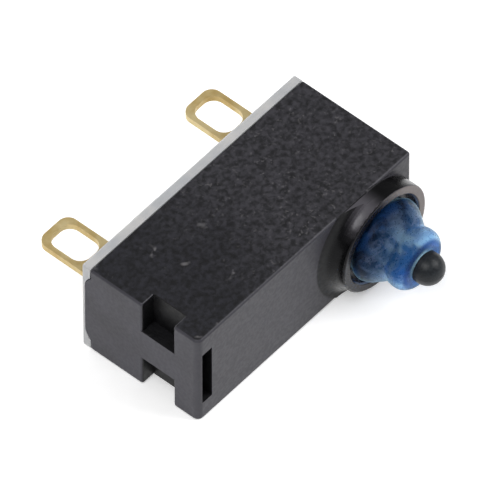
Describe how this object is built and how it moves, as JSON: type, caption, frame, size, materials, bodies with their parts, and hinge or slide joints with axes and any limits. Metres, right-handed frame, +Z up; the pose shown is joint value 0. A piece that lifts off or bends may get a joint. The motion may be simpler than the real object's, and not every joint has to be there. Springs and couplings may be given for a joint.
{
  "type": "micro switch",
  "caption": "Sealed micro switch with a black case, off-white base, blue rubber boot over a plunger, gold solder lugs with eyes, and an end notch for fixing.",
  "frame": {"origin": "middle of the whole outline seen from above, on the surface that the switch lies on with one large face of its case down", "axes": "+Z up through the depth of the case; +Y the way the plunger stands out, so the terminals point to -Y; +X along the case from the plunger end to the notched end"},
  "size_m": [0.0132, 0.0138, 0.0052],
  "materials": {
    "case_plastic": "moulded, lightly grained on the large faces",
    "base_plastic": "moulded, slightly translucent off-white",
    "ring_plastic": "smooth black",
    "plunger_plastic": "smooth black, soft sheen",
    "boot_rubber": "blue, slightly translucent",
    "gasket_rubber": "black",
    "seal_resin": "clear off-white resin",
    "terminal_gold": "gold-plated brass, satin",
    "contact_silver": "silver alloy",
    "arm_copper": "beryllium copper strip",
    "lever_steel": "stainless strip",
    "spring_steel": "spring wire"
  },
  "bodies": {
    "housing": {"case": "case_plastic", "base": "base_plastic", "base_gasket": "gasket_rubber", "throw_terminal": "terminal_gold", "cut_terminal": "terminal_gold", "common_terminal": "terminal_gold", "throw_terminal_seal": "seal_resin", "cut_terminal_seal": "seal_resin", "common_terminal_seal": "seal_resin", "throw_contact": "contact_silver", "cut_contact": "contact_silver", "boot": "boot_rubber", "boot_ring": "ring_plastic"},
    "plunger": {"plunger": "plunger_plastic"},
    "lever": {"operating_lever": "lever_steel"},
    "arm": {"contact_arm": "arm_copper", "moving_contact": "contact_silver", "snap_spring": "spring_steel"}
  },
  "joints": [
    {"name": "plunger_slide", "type": "slide", "parent": "housing", "child": "plunger", "axis": [0, -1, 0], "range_m": [0, 0.0012], "stiffness_N_per_m": 400, "deforming": ["boot"]},
    {"name": "lever_hinge", "type": "hinge", "parent": "housing", "child": "lever", "pos_m": [0.00375, 0.0015, 0.0026], "axis": [0, 0, 1], "range_deg": [0, 8.8], "deforming": ["snap_spring"]},
    {"name": "arm_hinge", "type": "hinge", "parent": "housing", "child": "arm", "pos_m": [0.00325, -0.00093, 0.0026], "axis": [0, 0, 1], "range_deg": [0, 3.7]}
  ],
  "couplings": [
    {"joint": "lever_hinge", "follows": "plunger_slide", "rad_per_m": 127.4},
    {"joint": "arm_hinge", "follows": "plunger_slide", "rad_per_m": 53}
  ]
}
